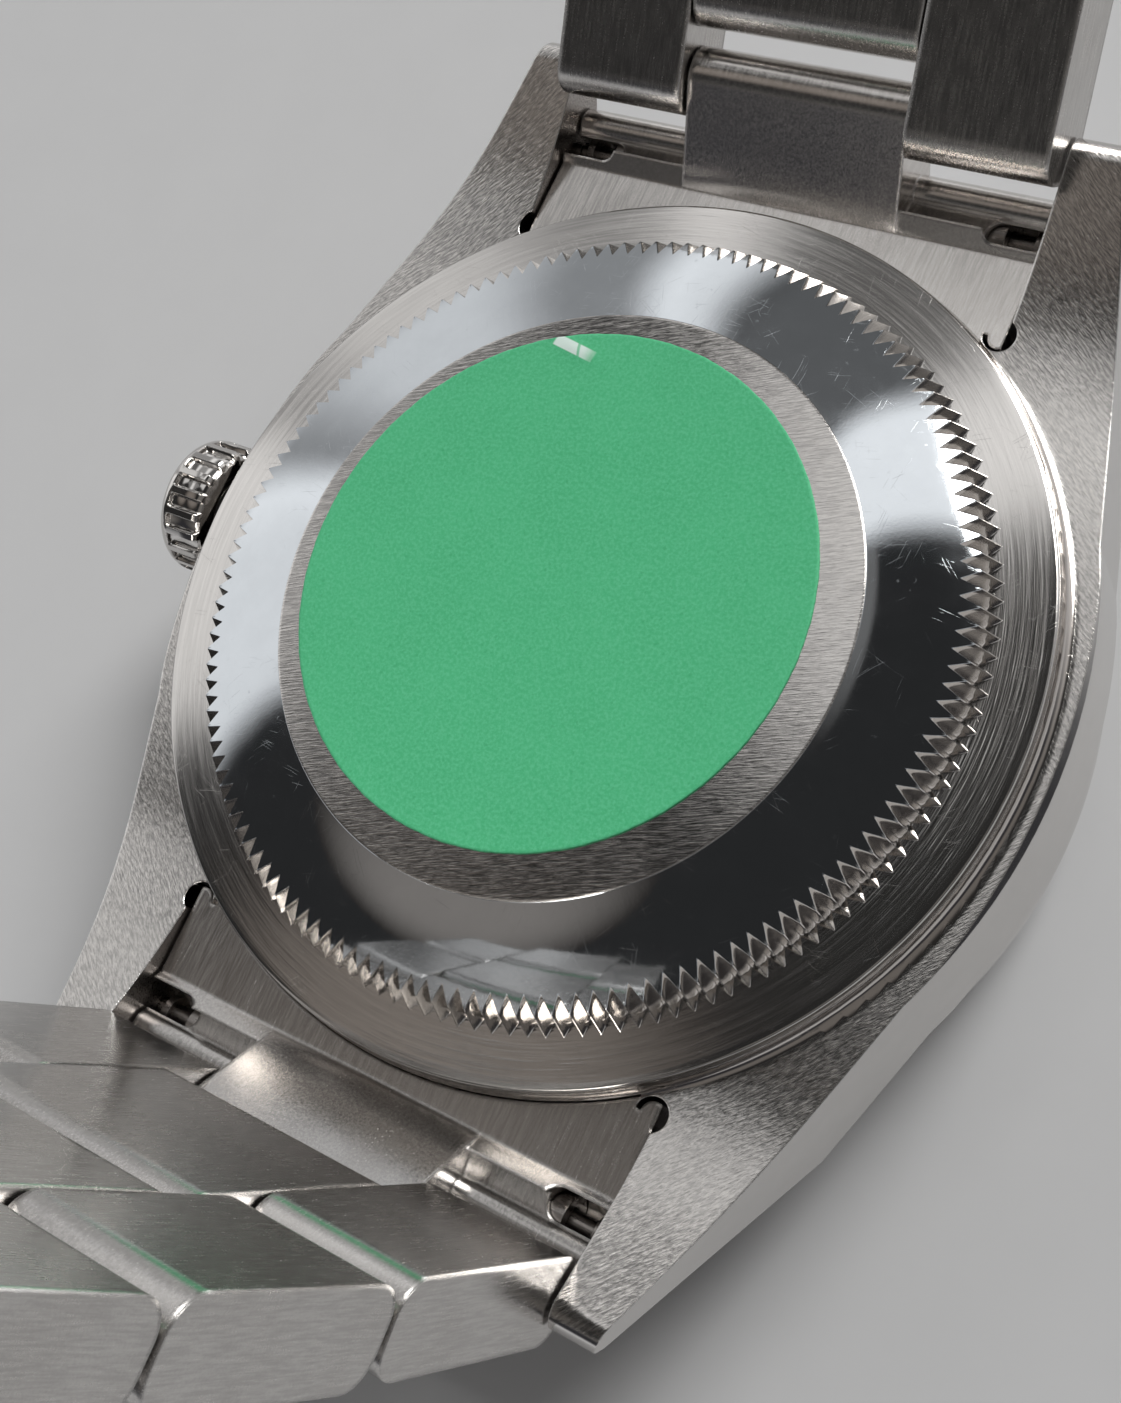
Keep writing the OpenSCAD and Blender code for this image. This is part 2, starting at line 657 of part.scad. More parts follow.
module link_12a_right() color("silver") on_12a() outer_link(first_pitch, true);
module link_12a_left() color("silver") on_12a() mirror([1, 0, 0]) outer_link(first_pitch, true);
module link_12a_centre() color("silver") on_12a() centre_link(first_pitch);
module link_12a_hinge_pin() color("lightgray") on_12a() hinge_pin();
module link_12a_joining_pins() color("lightgray") on_12a() joining_pins(first_pitch);
module link_6a_right() color("silver") on_6a() outer_link(first_pitch, true);
module link_6a_left() color("silver") on_6a() mirror([1, 0, 0]) outer_link(first_pitch, true);
module link_6a_centre() color("silver") on_6a() centre_link(first_pitch);
module link_6a_hinge_pin() color("lightgray") on_6a() hinge_pin();
module link_6a_joining_pins() color("lightgray") on_6a() joining_pins(first_pitch);
module link_6b_right() color("silver") on_6b() outer_link(link_pitch, false);
module link_6b_left() color("silver") on_6b() mirror([1, 0, 0]) outer_link(link_pitch, false);
module link_6b_centre() color("silver") on_6b() centre_link(link_pitch);
module link_6b_hinge_pin() color("lightgray") on_6b() hinge_pin();
module link_6b_joining_pins() color("lightgray") on_6b() joining_pins(link_pitch);
module link_6c_right() color("silver") on_6c() outer_link(link_pitch, false);
module link_6c_left() color("silver") on_6c() mirror([1, 0, 0]) outer_link(link_pitch, false);
module link_6c_centre() color("silver") on_6c() centre_link(link_pitch);
module link_6c_hinge_pin() color("lightgray") on_6c() hinge_pin();
module link_6c_joining_pins() color("lightgray") on_6c() joining_pins(link_pitch);

case_back();
protective_sticker();
back_gasket();
middle_case();
bezel();
crystal();
crystal_gasket();
crown_tube();
crown();
crown_gasket();
winding_stem();
end_link_12();
end_link_6();
spring_bar_12();
spring_bar_6();
bar_spring_12();
bar_spring_6();
bar_tip_12_left();
bar_tip_12_right();
bar_tip_6_left();
bar_tip_6_right();
link_12a_left();
link_12a_right();
link_12a_centre();
link_12a_hinge_pin();
link_12a_joining_pins();
link_6a_left();
link_6a_right();
link_6a_centre();
link_6a_hinge_pin();
link_6a_joining_pins();
link_6b_left();
link_6b_right();
link_6b_centre();
link_6b_hinge_pin();
link_6b_joining_pins();
link_6c_left();
link_6c_right();
link_6c_centre();
link_6c_hinge_pin();
link_6c_joining_pins();
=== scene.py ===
from math import atan2, cos, hypot, pi, radians, sin, sqrt

import bpy
import numpy as np
from mathutils import Matrix, Vector


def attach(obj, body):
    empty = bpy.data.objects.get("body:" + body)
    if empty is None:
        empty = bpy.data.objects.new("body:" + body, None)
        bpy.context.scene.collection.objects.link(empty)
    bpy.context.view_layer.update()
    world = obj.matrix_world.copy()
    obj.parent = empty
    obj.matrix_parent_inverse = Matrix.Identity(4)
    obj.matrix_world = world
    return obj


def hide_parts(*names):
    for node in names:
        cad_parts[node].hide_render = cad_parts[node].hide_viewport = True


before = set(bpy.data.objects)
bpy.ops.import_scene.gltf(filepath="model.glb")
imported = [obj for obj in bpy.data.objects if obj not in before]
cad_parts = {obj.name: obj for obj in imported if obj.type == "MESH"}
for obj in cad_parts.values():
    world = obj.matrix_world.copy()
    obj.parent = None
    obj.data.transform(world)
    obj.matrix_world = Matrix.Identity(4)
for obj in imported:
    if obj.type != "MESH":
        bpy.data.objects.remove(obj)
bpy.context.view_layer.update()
mm = 0.001
print("frame loaded")


# Camera, solved from the photo: its place in millimetres and the directions of the picture's sides

cameraSettings = {
    "place": (31.93, -13.62, 67.39),
    "right": (0.8292, 0.4219, -0.3666),
    "down": (0.3094, -0.8927, -0.3276),
    "lens": 49.47,
    "filmWidth": 36,
    "nearest": 0.002,
    "farthest": 20,
}


def makeCamera(s):
    data = bpy.data.cameras.new("photoCamera")
    data.lens, data.sensor_width = s["lens"], s["filmWidth"]
    data.clip_start, data.clip_end = s["nearest"], s["farthest"]
    right = Vector(s["right"]).normalized()
    up = -Vector(s["down"])
    up = (up - up.dot(right) * right).normalized()
    back = right.cross(up)
    turn = Matrix((right, up, back)).transposed().to_4x4()
    camera = bpy.data.objects.new("photoCamera", data)
    camera.matrix_world = Matrix.Translation(Vector(s["place"]) * mm) @ turn
    bpy.context.scene.collection.objects.link(camera)
    bpy.context.scene.camera = camera


makeCamera(cameraSettings)
print("camera placed")


# Shader building: a wire is one output socket that can be used in sums

class Wire:
    def __init__(self, paint, socket):
        self.paint, self.socket = paint, socket

    def math(self, kind, *rest):
        return self.paint.math(kind, self, *rest)

    def __add__(self, other):
        return self.math("ADD", other)

    def __mul__(self, other):
        return self.math("MULTIPLY", other)

    def __sub__(self, other):
        return self.math("SUBTRACT", other)

    def __rsub__(self, other):
        return self.paint.math("SUBTRACT", other, self)

    def __truediv__(self, other):
        return self.math("DIVIDE", other)

    __radd__, __rmul__ = __add__, __mul__

    def vectorMath(self, kind, other, output=0):
        return self.paint.node("ShaderNodeVectorMath", {"operation": kind}, {0: self, 1: other}, output)

    def moved(self, offset):
        return self.vectorMath("ADD", offset)

    def scaled(self, factors):
        return self.vectorMath("MULTIPLY", factors)

    def dot(self, direction):
        return self.vectorMath("DOT_PRODUCT", direction, "Value")

    def parts(self):
        return [self.paint.node("ShaderNodeSeparateXYZ", {}, {0: self}, i) for i in range(3)]

    def between(self, low, high):  # smooth step from 0 at low to 1 at high
        ends = {"Value": self, "From Min": low, "From Max": high}
        return self.paint.node("ShaderNodeMapRange", {"interpolation_type": "SMOOTHSTEP"}, ends)


class Paint:
    def __init__(self, tree):
        self.tree = tree
        tree.nodes.clear()

    def node(self, kind, settings, inputs, output=0):
        made = self.tree.nodes.new(kind)
        for name, value in settings.items():
            setattr(made, name, value)
        for name, value in inputs.items():
            if isinstance(value, Wire):
                self.tree.links.new(value.socket, made.inputs[name])
            else:
                made.inputs[name].default_value = value
        return Wire(self, made.outputs[output]) if made.outputs else made

    def math(self, kind, *values):
        return self.node("ShaderNodeMath", {"operation": kind}, dict(enumerate(values)))

    def vector(self, x, y, z):
        return self.node("ShaderNodeCombineXYZ", {}, {0: x, 1: y, 2: z})

    def mix(self, share, first, second):  # of two colours
        return self.node("ShaderNodeMix", {"data_type": "RGBA"}, {0: share, 6: first, 7: second}, 2)

    def place(self):  # position on the piece, in millimetres
        return self.node("ShaderNodeTexCoord", {}, {}, "Object").scaled((1000, 1000, 1000))

    def noise(self, place, scale, detail, rough):
        inputs = {"Vector": place, "Scale": scale, "Detail": detail, "Roughness": rough}
        return self.node("ShaderNodeTexNoise", {}, inputs)

    def bevel(self, radius):  # the normal with edges broken by this radius in millimetres
        return self.node("ShaderNodeBevel", {"samples": 6}, {"Radius": radius * mm})

    def bump(self, height, depth, edge=0.0):  # depth and the radius of broken edges in millimetres
        inputs = {"Strength": 1.0, "Distance": depth * mm, "Height": height}
        if edge:
            inputs["Normal"] = self.bevel(edge)
        return self.node("ShaderNodeBump", {}, inputs)

    def surface(self, **values):  # what is the same all over is a number on the shader's own socket
        sockets = {"colour": "Base Color", "metal": "Metallic", "roughness": "Roughness", "normal": "Normal",
                   "glass": "Transmission Weight", "bend": "IOR", "shine": "Specular IOR Level"}
        inputs = {sockets[key]: value for key, value in values.items()}
        shader = self.node("ShaderNodeBsdfPrincipled", {}, inputs)
        self.node("ShaderNodeOutputMaterial", {}, {"Surface": shader})


def newMaterial(name, plain):
    material = bpy.data.materials.new(name)
    material.use_nodes = True
    material.diffuse_color = (*plain, 1)
    return material, Paint(material.node_tree)


def darker(colour, share):
    return (*(share * c for c in colour[:3]), 1)


def turned(place, degrees):  # coordinates along and across a direction in the XY plane
    a = radians(degrees)
    return place.dot((cos(a), sin(a), 0)), place.dot((-sin(a), cos(a), 0))


def scratches(paint, place, degrees, length, width, share, seed):  # sparse thin lines in one direction
    along, across = turned(place, degrees)
    bent = across + paint.noise(place, 0.12, 1.0, 0.5) * 2.5
    line = paint.noise(paint.vector(along / length, bent / width, seed), 1.0, 0.0, 0.5)
    return line.between(1 - share, 1 - 0.7 * share)


# Steel finishes: lengths, widths, depths and edges in millimetres

wearSettings = {
    "directions": (12, 47, 88, 131, 164), "length": 1.5, "longer": 0.4, "width": 0.018, "share": 0.22,
}


def wear(paint, place, amount, seed=0.0):  # a few hairlines in each of several directions, in patches
    s = wearSettings
    lines = 0.0
    for step, degrees in enumerate(s["directions"]):
        length = s["length"] + s["longer"] * step
        lines = scratches(paint, place, degrees, length, s["width"], s["share"], seed + 3 * step) + lines
    patches = paint.noise(place.moved((seed, 4, 9)), 0.9, 2.0, 0.5).between(0.42, 0.7)
    return lines * patches * amount


# glint is a lighter steel: the bright strokes of brushing, and a painted highlight on the flutes and on the
# end link at twelve
steelTones = {
    "steel": (0.64, 0.62, 0.6, 1),
    "warm": (0.6, 0.56, 0.53, 1),
    "dull": (0.42, 0.39, 0.37, 1),
    "glint": (0.82, 0.79, 0.76, 1),
    "cool": (0.6, 0.63, 0.66, 1),
    # edgeHighlight is a near-white painted highlight along brushed edges
    "edgeHighlight": (0.95, 0.94, 0.92, 1),
}


def makePolished(name, roughness, marks, tone, wave=0.0, edge=0.0):
    # marks is the share of hairlines and specks, wave the unevenness of the polish
    material, paint = newMaterial(name, (0.6, 0.6, 0.6))
    place = paint.place()
    hair = wear(paint, place, marks)
    haze = paint.noise(place, 0.8, 4.0, 0.6)
    speck = paint.noise(place, 3.5, 1.0, 0.5).between(0.74, 0.8) * marks
    shine = roughness + hair * 0.2 + haze.between(0.35, 0.75) * 0.03 + speck * 0.15
    fine = paint.noise(place, 9.0, 2.0, 0.5) * 0.25 + paint.noise(place, 1.2, 2.0, 0.5) * wave
    normal = paint.bump(fine + hair * 0.8, 0.001, edge)
    bright = steelTones[tone]
    colour = paint.mix(haze.between(0.3, 0.8), darker(bright, 0.95), bright)
    paint.surface(colour=colour, metal=1.0, roughness=shine, normal=normal)
    return material


def makeStraight(name, degrees, length, width, depth, roughness, mirrored=None):
    # straight brushing; with mirrored, the direction changes from one quarter of the case to the next,
    # and the edges get a painted highlight
    edge = 0.12
    material, paint = newMaterial(name, (0.6, 0.6, 0.6))
    place = paint.place()

    def strokes(angle, seed):
        along, across = turned(place, angle)
        bent = across + paint.noise(place, 0.3, 1.0, 0.5) * 0.25
        coarse = paint.vector(along / length, bent / width, seed)
        fine = paint.vector(along / (0.4 * length), bent / (0.45 * width), seed + 5)
        return paint.noise(coarse, 1.0, 1.0, 0.5) * 0.6 + paint.noise(fine, 1.0, 1.0, 0.5) * 0.4

    height = strokes(degrees, 0.0)
    if mirrored is not None:
        x, y, _ = place.parts()
        share = (x * y).between(-6, 6)
        height = height * (1 - share) + strokes(mirrored, 2.0) * share
    worn = paint.noise(place, 0.35, 3.0, 0.6)
    shine = roughness + (height - 0.5) * 0.3 + (worn - 0.5) * 0.1
    colour = paint.mix(height.between(0.32, 0.7), darker(steelTones["steel"], 0.74), steelTones["glint"])
    if mirrored is not None:
        # painted highlight: within the bevel's reach of each edge the colour goes near white and the
        # roughness low
        true = paint.node("ShaderNodeNewGeometry", {}, {}, "Normal")
        rim = (1 - paint.bevel(edge).dot(true)).between(0.02, 0.12)
        colour = paint.mix(rim, colour, steelTones["edgeHighlight"])
        shine = shine * (1 - rim) + rim * 0.1
    paint.surface(colour=colour, metal=1.0, roughness=shine, normal=paint.bump(height, depth, edge))
    return material


def makeTurned(name, axis, width, depth, roughness, tone, marks=0.0, lean=0.0):
    # brushing in circles about an axis through the origin; lean is the slope of the face, outwards and down
    material, paint = newMaterial(name, (0.6, 0.6, 0.6))
    place = paint.place()
    x, y, z = place.parts()
    first, second, along = {"x": (y, z, x), "z": (x, y, z)}[axis]
    flat = paint.vector(first, second, 0)
    radius = paint.node("ShaderNodeVectorMath", {"operation": "LENGTH"}, {0: flat}, "Value")
    around = paint.node("ShaderNodeVectorMath", {"operation": "NORMALIZE"}, {0: flat})
    cosine, sine, _ = around.parts()

    def circles(wide, streak):
        spread = paint.vector(radius / wide, cosine * streak, sine * streak + along / wide)
        return paint.noise(spread, 1.0, 1.0, 0.5)

    height = circles(width, 4) * 0.6 + circles(0.45 * width, 11) * 0.4
    shine = roughness + (height - 0.5) * 0.16
    shape = height
    if marks:
        worn = wear(paint, place, marks, 5.0)
        shine = shine + worn * 0.1
        shape = height + worn
    if lean:
        shape = shape - radius * (lean / depth)
    bright = steelTones[tone]
    colour = paint.mix(height.between(0.35, 0.7), darker(bright, 0.85), bright)
    paint.surface(colour=colour, metal=1.0, roughness=shine, normal=paint.bump(shape, depth))
    return material


def makeSatin(name, along, depth, edge, roughness, tone, contrast, lean=0.0):
    # fine satin with short marks along one axis of the piece; lean turns that axis about X, in degrees
    material, paint = newMaterial(name, (0.55, 0.52, 0.5))
    place = paint.place()
    grainPlace = place
    if lean:
        a = radians(lean)
        x, _, _ = place.parts()
        grainPlace = paint.vector(x, place.dot((0, cos(a), sin(a))), place.dot((0, -sin(a), cos(a))))
    stretch = {"x": (0.9, 13, 13), "y": (13, 0.9, 13)}[along]
    grain = paint.noise(grainPlace.scaled(stretch), 1.0, 2.0, 0.5)
    speck = paint.noise(place, 15.0, 2.0, 0.6)
    cloud = paint.noise(place, 0.4, 3.0, 0.6)
    nick = wear(paint, grainPlace, 0.3, 8.0)
    height = grain * 0.65 + speck * 0.35
    shine = roughness + (cloud - 0.5) * 0.1 + (height - 0.5) * 0.25 + nick * 0.1
    bright = steelTones[tone]
    colour = paint.mix(height.between(0.35, 0.65), darker(bright, 1 - contrast), bright)
    colour = paint.mix(cloud.between(0.3, 0.75) * 0.2, colour, steelTones["dull"])
    paint.surface(colour=colour, metal=1.0, roughness=shine, normal=paint.bump(height + nick, depth, edge))
    return material


# The green film of the sticker, with a pale glare painted along its small crease

filmSettings = {
    "green": (0.075, 0.52, 0.235, 1),
    "shade": (0.055, 0.44, 0.19, 1),
    "pale": (0.13, 0.6, 0.32, 1),
    "glare": (0.75, 0.9, 0.84, 1),
    "creaseAt": (-3.6, 8.75),
    "creaseLean": 0.18,
}


def makeFilm(s):
    material, paint = newMaterial("greenFilm", s["green"][:3])
    place = paint.place()
    cloud = paint.noise(place, 0.35, 4.0, 0.6)
    grain = paint.noise(place, 8.0, 3.0, 0.7)
    speck = paint.noise(place, 5.0, 1.0, 0.4).between(0.68, 0.74)
    fibre = scratches(paint, place, 20, 0.35, 0.02, 0.21, 2.0)
    fibre = fibre + scratches(paint, place, 105, 0.3, 0.02, 0.21, 6.0)
    colour = paint.mix(cloud.between(0.3, 0.7) * 0.4, s["green"], s["shade"])
    colour = paint.mix(grain.between(0.35, 0.7) * 0.8, colour, s["pale"])
    colour = paint.mix((speck * 0.6 + fibre * 0.25).math("MINIMUM", 0.6), colour, s["shade"])
    away = place.moved((-s["creaseAt"][0], -s["creaseAt"][1], 0))
    along, across = away.dot((1.0, -s["creaseLean"], 0)), away.dot((s["creaseLean"], 1.0, 0))
    crease = across.math("ABSOLUTE").between(0.25, 0.19) * along.math("ABSOLUTE").between(0.95, 0.85)
    fold = (along + across * 0.5 - 0.2).math("ABSOLUTE").between(0.03, 0.09)
    crease = crease * (0.25 + fold * 0.75) * along.between(1.1, 0.3).math("MAXIMUM", 0.3)
    colour = paint.mix(crease, colour, s["glare"])
    normal = paint.bump(grain * 0.7 + cloud, 0.004)
    paint.surface(colour=colour, roughness=0.5 + grain * 0.2, normal=normal, shine=0.35)
    return material


# The gaskets and the crystal

gasketSettings = {
    "rubber": {
        "name": "blackRubber", "plain": (0.03, 0.03, 0.03), "shade": (0.018, 0.018, 0.019, 1),
        "pale": (0.035, 0.034, 0.034, 1), "grain": 12.0, "roughness": 0.45, "uneven": 0.2, "depth": 0.003},
    "nylon": {
        "name": "whiteNylon", "plain": (0.8, 0.8, 0.77), "shade": (0.78, 0.77, 0.73, 1),
        "pale": (0.86, 0.86, 0.83, 1), "grain": 1.5, "roughness": 0.3, "uneven": 0.12, "depth": 0.002},
}


def makeMoulded(s):
    material, paint = newMaterial(s["name"], s["plain"])
    grain = paint.noise(paint.place(), s["grain"], 3.0, 0.6)
    roughness = s["roughness"] + grain * s["uneven"]
    colour = paint.mix(grain, s["shade"], s["pale"])
    paint.surface(colour=colour, roughness=roughness, normal=paint.bump(grain, s["depth"]))
    return material


crystalSettings = {"plain": (0.85, 0.92, 0.94), "tint": (0.93, 0.97, 0.98, 1), "smear": 0.04, "bend": 1.76}


def makeCrystal(s):
    material, paint = newMaterial("crystalGlass", s["plain"])
    smear = paint.noise(paint.place(), 0.6, 3.0, 0.6).between(0.4, 0.8)
    paint.surface(colour=s["tint"], roughness=smear * s["smear"], glass=1.0, bend=s["bend"])
    return material


look = {
    "dome": makePolished("polishedDome", roughness=0.05, marks=0.7, tone="cool"),
    "polished": makePolished("polishedSteel", roughness=0.09, marks=0.5, tone="steel", wave=0.6, edge=0.05),
    "cove": makePolished("polishedCove", roughness=0.1, marks=0.8, tone="warm", wave=2.0),
    # the flutes wear the lighter glint steel, a painted highlight
    "flute": makePolished("cutFlutes", roughness=0.1, marks=0.3, tone="glint"),
    "disc": makeStraight("brushedDisc", degrees=24, length=0.9, width=0.06, depth=0.0055, roughness=0.13),
    "lug": makeStraight("brushedLugs", degrees=50, length=0.42, width=0.085, depth=0.01, roughness=0.2,
                        mirrored=-36),
    "ring": makeTurned("brushedRing", "z", width=0.13, depth=0.01, roughness=0.14, tone="steel", marks=0.1,
                       lean=0.09),
    "turnedX": makeTurned("turnedSteel", "x", width=0.08, depth=0.002, roughness=0.26, tone="warm"),
    "turnedZ": makeTurned("turnedBack", "z", width=0.08, depth=0.002, roughness=0.28, tone="warm"),
    # the end link at twelve wears the lighter glint steel, a painted highlight over the same steel as the
    # end link at six
    "endLink12": makeSatin("satinEndLink12", "y", depth=0.0012, edge=0.15, roughness=0.2, tone="glint",
                           contrast=0.14),
    "endLink6": makeSatin("satinEndLink6", "y", depth=0.0013, edge=0.2, roughness=0.22, tone="steel",
                          contrast=0.18),
    "plain": makeSatin("plainSteel", "x", depth=0.002, edge=0.06, roughness=0.3, tone="dull", contrast=0.3),
    "film": makeFilm(filmSettings),
    "rubber": makeMoulded(gasketSettings["rubber"]),
    "nylon": makeMoulded(gasketSettings["nylon"]),
    "glass": makeCrystal(crystalSettings),
}
linkLeans = {"link_12a": 36.0, "link_6a": -81.5, "link_6b": -85.0, "link_6c": -88.0}
for link, lean in linkLeans.items():
    look[link] = makeSatin("satin_" + link, "y", depth=0.0012, edge=0.28, roughness=0.24, tone="steel",
                           contrast=0.2, lean=lean)
print("materials made")


# Making pieces: rows of points that close round, in millimetres and in the frame of the CAD

def addPiece(name, points, faces, body, materials, faceLooks=None, smooth=30):
    mesh = bpy.data.meshes.new(name)
    mesh.from_pydata((np.asarray(points, float) * mm).tolist(), [], faces)
    for material in materials:
        mesh.materials.append(look[material])
    if faceLooks is not None:
        mesh.polygons.foreach_set("material_index", np.asarray(faceLooks, np.int32))
    mesh.validate()
    mesh.shade_smooth()
    mesh.set_sharp_from_angle(angle=radians(smooth))
    piece = bpy.data.objects.new(name, mesh)
    bpy.context.scene.collection.objects.link(piece)
    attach(piece, body)
    return piece


def evenAngles(count):
    return np.arange(count) * 2 * pi / count


def turnedPoints(rows, angles, base=0.0):  # rows of radius and height about the case's axis
    rings = []
    for radius, height in rows:
        x, y = radius * np.cos(angles), radius * np.sin(angles)
        rings.append(np.stack([x, y, np.broadcast_to(base + height, len(angles))], 1))
    return np.array(rings).reshape(-1, 3)


def gridFaces(rows, columns, inwards=False):
    faces = []
    for i in range(rows - 1):
        for j in range(columns):
            k = (j + 1) % columns
            face = (i * columns + j, i * columns + k, (i + 1) * columns + k, (i + 1) * columns + j)
            faces.append(face[::-1] if inwards else face)
    return faces


def closeEnd(points, faces, columns, middle, inwards=False):  # a fan from the last row to its middle
    hub, last = len(points), len(points) - columns
    for j in range(columns):
        first, second = last + j, last + (j + 1) % columns
        faces.append((second, first, hub) if inwards else (first, second, hub))
    return np.vstack([points, [middle]])


# Case back: every column is one profile, and the flute's depth changes from column to column

backSettings = {
    "flangeR": 16.55, "flangeT": 0.57, "flangeZ": 9.25, "rimRound": 0.12,
    "fluteCount": 144, "fluteR": 14.79, "fluteH": 1.15, "fluteLean": 0.5, "fluteDepth": 0.545,
    "land": 0.02, "fluteRim": 0.022,
    "discR": 10.77, "discH": 2.06, "discStep": 0.05, "domeRise": 0.12, "domeRows": 22,
    "threadR": 15.15, "threadPitch": 0.5, "threadDepth": 0.2, "threadStep": 0.04,
    "skirtH": 1.4, "skirtR": 14.3, "hollowR": 13.1, "hollowZ": 0.35, "domeWall": 0.75,
    "ringRows": (16.2, 15.9, 15.6, 15.3, 15.05, 14.9), "discRows": (10.4, 9.0, 6.0, 3.0, 0.5),
    "skirtColumns": 240,
}


def makeCaseBack(s):
    share = np.array([0, 0.05, 0.12, 0.3, 0.6, 0.9, 1.0])  # across half a flute, from crest to root
    share = np.concatenate([share, 2 - share[-2:0:-1]])
    angles = np.concatenate([(i + share / 2) * 2 * pi / s["fluteCount"] for i in range(s["fluteCount"])])
    halfPitch = pi * s["fluteR"] / s["fluteCount"]
    crest = np.minimum(share, 2 - share) * halfPitch
    cut = np.maximum(crest - s["land"], 0) / (halfPitch - s["land"]) * s["fluteDepth"]
    cut = np.tile(np.minimum(cut, s["fluteDepth"] - 0.015), s["fluteCount"])
    count = len(angles)

    domeEdge = s["fluteR"] - s["fluteLean"]
    edgeZ = s["discH"] - s["discStep"]
    run, fall = domeEdge - s["discR"], edgeZ - s["fluteH"]
    chord, rise = hypot(run, fall), s["domeRise"]
    curve = (chord ** 2 / 4 + rise ** 2) / (2 * rise)
    tilt = atan2(fall, run)
    centreR = (s["discR"] + domeEdge) / 2 + (rise - curve) * sin(tilt)
    centreZ = (edgeZ + s["fluteH"]) / 2 + (rise - curve) * cos(tilt)

    def dome(r):
        return centreZ + np.sqrt(curve ** 2 - (r - centreR) ** 2)

    lean = s["fluteLean"] / s["fluteH"]
    foot = s["fluteR"] - cut
    top = foot - s["fluteLean"]
    for _ in range(12):  # where the flute's wall meets the dome
        top = foot - lean * dome(top)
    rows, looks = [], []

    def row(radius, height, kind):
        rows.append((radius, height))
        looks.append(kind)

    finishes = ["ring", "flute", "dome", "disc", "plain"]
    underside = -s["flangeT"]
    row(s["threadR"] - 0.15, underside - 0.02, "plain")
    row(s["flangeR"] - 0.06, underside, "plain")
    row(s["flangeR"], underside + 0.05, "ring")
    for a in np.linspace(0, pi / 2, 5):
        row(s["flangeR"] - s["rimRound"] * (1 - cos(a)), -s["rimRound"] * (1 - sin(a)), "ring")
    for r in s["ringRows"]:
        row(r, 0, "ring")
    row(foot + 0.02, 0, "ring")
    row(foot - 0.02 * lean, 0.02, "flute")
    for t in (0.25, 0.5, 0.75):
        h = dome(top) * t
        row(foot - lean * h, h, "flute")
    rim = s["fluteRim"]
    row(top + rim * lean, dome(top) - rim, "flute")
    row(top - rim, dome(top - rim), "dome")
    inner = s["discR"] + 0.012
    for t in np.linspace(0, 1, s["domeRows"])[1:]:
        r = (top - rim) * (1 - t) + inner * t
        row(r, dome(r), "dome")
    row(s["discR"] - 0.004, edgeZ + 0.012, "dome")
    row(s["discR"] - 0.01, s["discH"] - 0.02, "disc")
    row(s["discR"] - 0.03, s["discH"], "disc")
    for r in s["discRows"]:
        row(r, s["discH"], "disc")
    points = turnedPoints(rows, angles, s["flangeZ"])
    faces = gridFaces(len(rows), count)
    points = closeEnd(points, faces, count, (0, 0, s["flangeZ"] + s["discH"]))
    faceLooks = np.repeat([finishes.index(kind) for kind in looks[1:] + ["disc"]], count)
    piece = addPiece("caseBack", points, faces, "back", finishes, faceLooks, 24)
    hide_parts("case_back")


def makeBackSkirt(s):  # threaded skirt and the hollow under the dome
    count = s["skirtColumns"]
    angles = evenAngles(count)
    top = s["flangeZ"] - s["flangeT"]
    low = top - s["skirtH"]
    ceiling = s["flangeZ"] + s["discH"] - s["domeWall"]
    rows = [(s["flangeR"] - 0.1, top), (s["threadR"] - 0.15, top)]
    for z in np.arange(0.06, s["skirtH"] - 0.08, s["threadStep"]):
        turn = (z / s["threadPitch"] - angles / (2 * pi)) % 1
        groove = s["threadDepth"] * (1 - np.abs(2 * turn - 1))
        fade = min(1, (z - 0.04) / 0.2, (s["skirtH"] - 0.06 - z) / 0.15)
        rows.append((s["threadR"] - s["threadDepth"] * (1 - fade) - groove * fade, top - z))
    rows += [(s["threadR"] - 0.25, low), (s["skirtR"] + 0.05, low), (s["skirtR"], low + 0.05)]
    rows += [(s["skirtR"], top - 0.3), (s["skirtR"] - 0.3, top), (s["hollowR"], top + 0.05)]
    rows += [(s["hollowR"], s["flangeZ"] + s["hollowZ"])]
    rows += [(radius, ceiling) for radius in (s["discR"], 5.0, 0.3)]
    faces = gridFaces(len(rows), count, True)
    points = closeEnd(turnedPoints(rows, angles), faces, count, (0, 0, ceiling), True)
    addPiece("backSkirt", points, faces, "back", ["turnedZ"], None, 40)


makeCaseBack(backSettings)
makeBackSkirt(backSettings)
print("case back made")


# Sticker: a thin film with a soft ragged edge and one small raised crease

stickerSettings = {
    "radius": 9.6, "thick": 0.08, "x": -0.5, "y": 0.26, "under": 11.31,
    "creaseLong": 0.95, "creaseWide": 0.22, "creaseHigh": 0.05, "columns": 360, "rings": 60,
}


